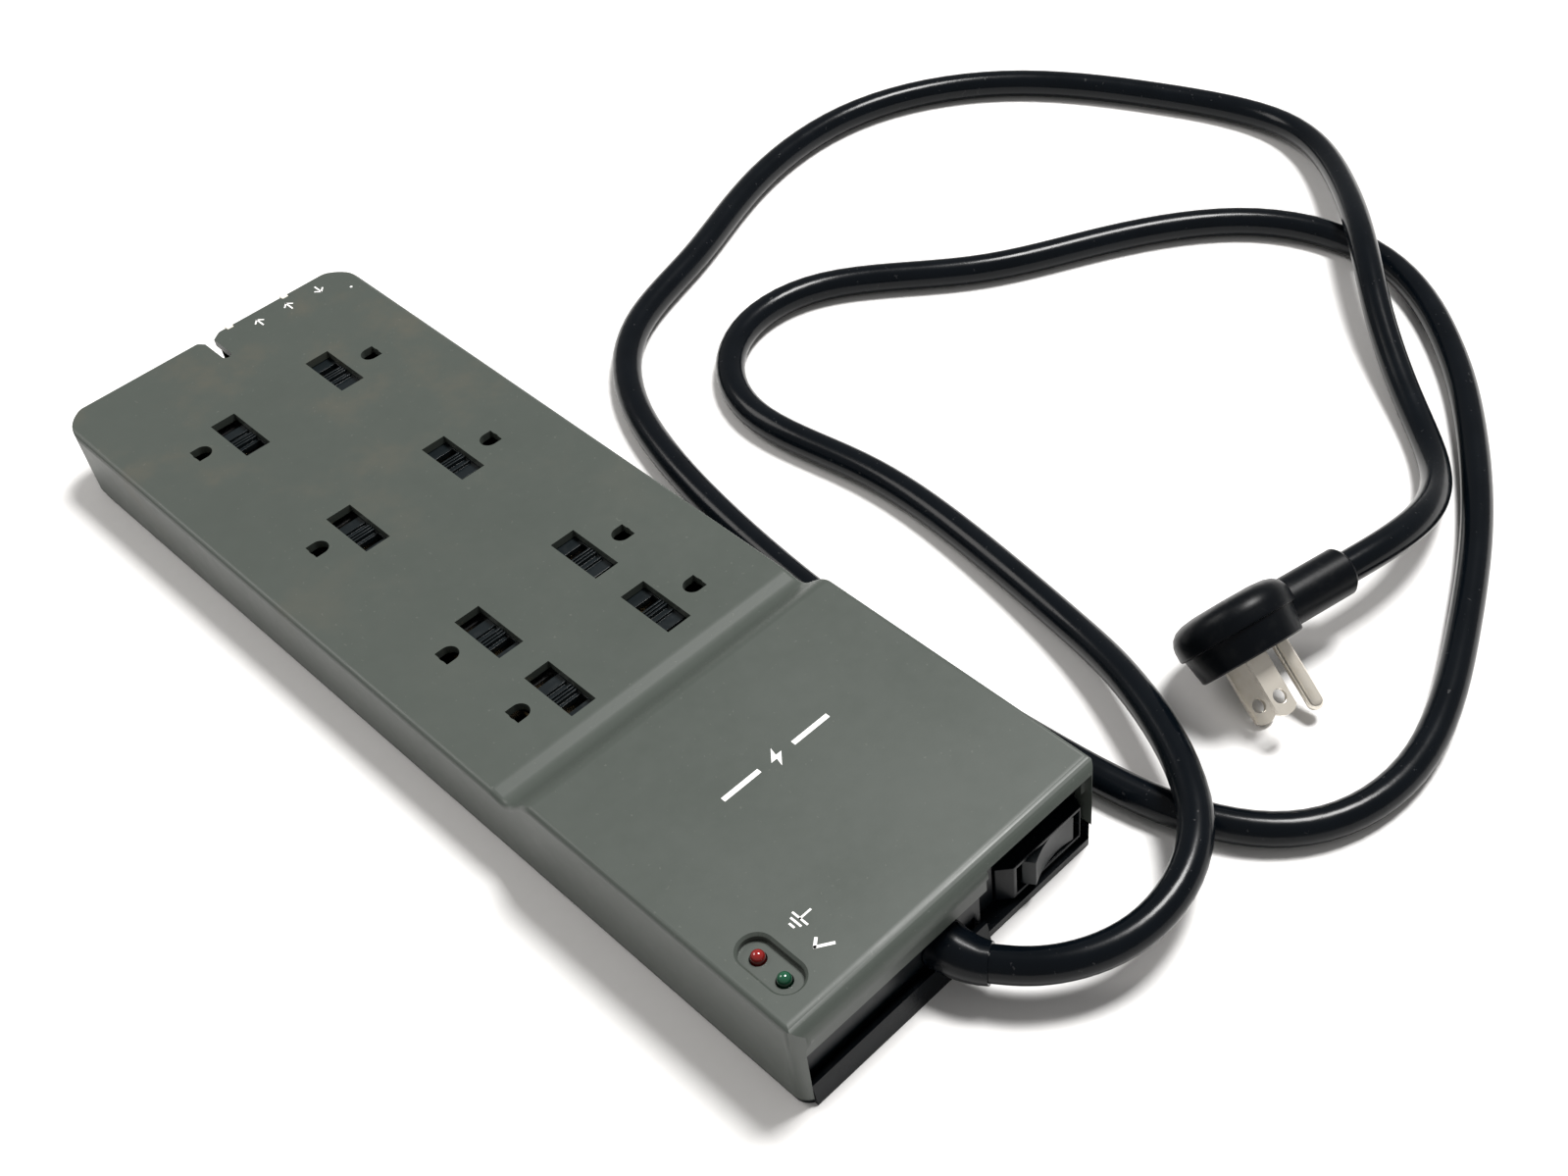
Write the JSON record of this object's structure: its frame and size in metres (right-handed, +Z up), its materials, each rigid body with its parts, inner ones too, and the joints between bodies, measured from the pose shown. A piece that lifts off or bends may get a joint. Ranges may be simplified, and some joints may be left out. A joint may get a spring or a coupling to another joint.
{
  "type": "surge protector power strip",
  "caption": "Long two-level plug-in power strip with sliding outlet shutters, a rocker switch, indicator lamps, telephone jacks and a corded flat plug.",
  "frame": {"origin": "centre of the housing's underside", "axes": "+X along the strip to the cord end, +Y across it to the rocker switch's side, +Z up out of the outlets"},
  "size_m": [0.3747, 0.3892, 0.0368],
  "materials": {
    "cover_abs": "fine textured satin grey",
    "black_abs": "satin black",
    "shutter_abs": "moulded black, slightly glossy",
    "guide_abs": "dark moulded plastic",
    "contact_brass": "stamped strip",
    "board_green": "glass-fibre board",
    "screw_steel": "zinc plated",
    "component_blue": "dipped coating",
    "component_metal": "plain",
    "component_copper": "enamelled winding",
    "component_yellow": "moulded case",
    "lens_red": "tinted clear lens",
    "lens_green": "tinted clear lens",
    "jack_ivory": "ivory moulding",
    "tube_ceramic": "white body",
    "cord_rubber": "glossy black jacket",
    "plug_rubber": "satin black moulding",
    "blade_nickel": "nickel plated brass",
    "wire_black": "insulation",
    "wire_white": "insulation",
    "wire_green": "insulation"
  },
  "bodies": {
    "housing": {"top_cover": "cover_abs", "base_tray": "black_abs", "shutter_guide_left": "guide_abs", "shutter_guide_right": "guide_abs", "bus_hot_left": "contact_brass", "bus_hot_right": "contact_brass", "bus_neutral_left": "contact_brass", "bus_neutral_right": "contact_brass", "bus_ground_left": "contact_brass", "bus_ground_right": "contact_brass", "circuit_board": "board_green", "board_screws": "screw_steel", "varistors": "component_blue", "thermal_fuse": "component_metal", "filter_choke": "component_copper", "filter_capacitor": "component_yellow", "led_red": "lens_red", "led_green": "lens_green", "led_board": "board_green", "switch_housing": "black_abs", "switch_terminals": "contact_brass", "phone_jack_out_1": "jack_ivory", "phone_jack_out_2": "jack_ivory", "phone_jack_in": "jack_ivory", "phone_contacts": "contact_brass", "phone_board": "board_green", "phone_surge_tubes": "tube_ceramic", "strain_relief": "cord_rubber", "cord_jacket": "cord_rubber", "cord_clamp": "guide_abs", "wire_hot": "wire_black", "wire_neutral": "wire_white", "wire_ground": "wire_green", "power_cord": "cord_rubber", "plug_body": "plug_rubber", "plug_blade_hot": "blade_nickel", "plug_blade_neutral": "blade_nickel", "plug_ground_pin": "blade_nickel", "cover_screws": "screw_steel"},
    "shutter_left_1": {"shutter_left_1": "shutter_abs"},
    "shutter_left_2": {"shutter_left_2": "shutter_abs"},
    "shutter_left_3": {"shutter_left_3": "shutter_abs"},
    "shutter_left_4": {"shutter_left_4": "shutter_abs"},
    "shutter_right_1": {"shutter_right_1": "shutter_abs"},
    "shutter_right_2": {"shutter_right_2": "shutter_abs"},
    "shutter_right_3": {"shutter_right_3": "shutter_abs"},
    "shutter_right_4": {"shutter_right_4": "shutter_abs"},
    "rocker": {"switch_rocker": "shutter_abs"}
  },
  "joints": [
    {"name": "shutter_left_1_slide", "type": "slide", "parent": "housing", "child": "shutter_left_1", "axis": [1, 0, 0], "range_m": [-0.004, 0]},
    {"name": "shutter_left_2_slide", "type": "slide", "parent": "housing", "child": "shutter_left_2", "axis": [1, 0, 0], "range_m": [-0.004, 0]},
    {"name": "shutter_left_3_slide", "type": "slide", "parent": "housing", "child": "shutter_left_3", "axis": [1, 0, 0], "range_m": [-0.004, 0]},
    {"name": "shutter_left_4_slide", "type": "slide", "parent": "housing", "child": "shutter_left_4", "axis": [1, 0, 0], "range_m": [-0.004, 0]},
    {"name": "shutter_right_1_slide", "type": "slide", "parent": "housing", "child": "shutter_right_1", "axis": [1, 0, 0], "range_m": [0, 0.004]},
    {"name": "shutter_right_2_slide", "type": "slide", "parent": "housing", "child": "shutter_right_2", "axis": [1, 0, 0], "range_m": [0, 0.004]},
    {"name": "shutter_right_3_slide", "type": "slide", "parent": "housing", "child": "shutter_right_3", "axis": [1, 0, 0], "range_m": [0, 0.004]},
    {"name": "shutter_right_4_slide", "type": "slide", "parent": "housing", "child": "shutter_right_4", "axis": [1, 0, 0], "range_m": [0, 0.004]},
    {"name": "rocker_tilt", "type": "hinge", "parent": "housing", "child": "rocker", "pos_m": [0.152, 0.0343, 0.0105], "axis": [0, 0, 1], "range_deg": [-16, 0]}
  ]
}
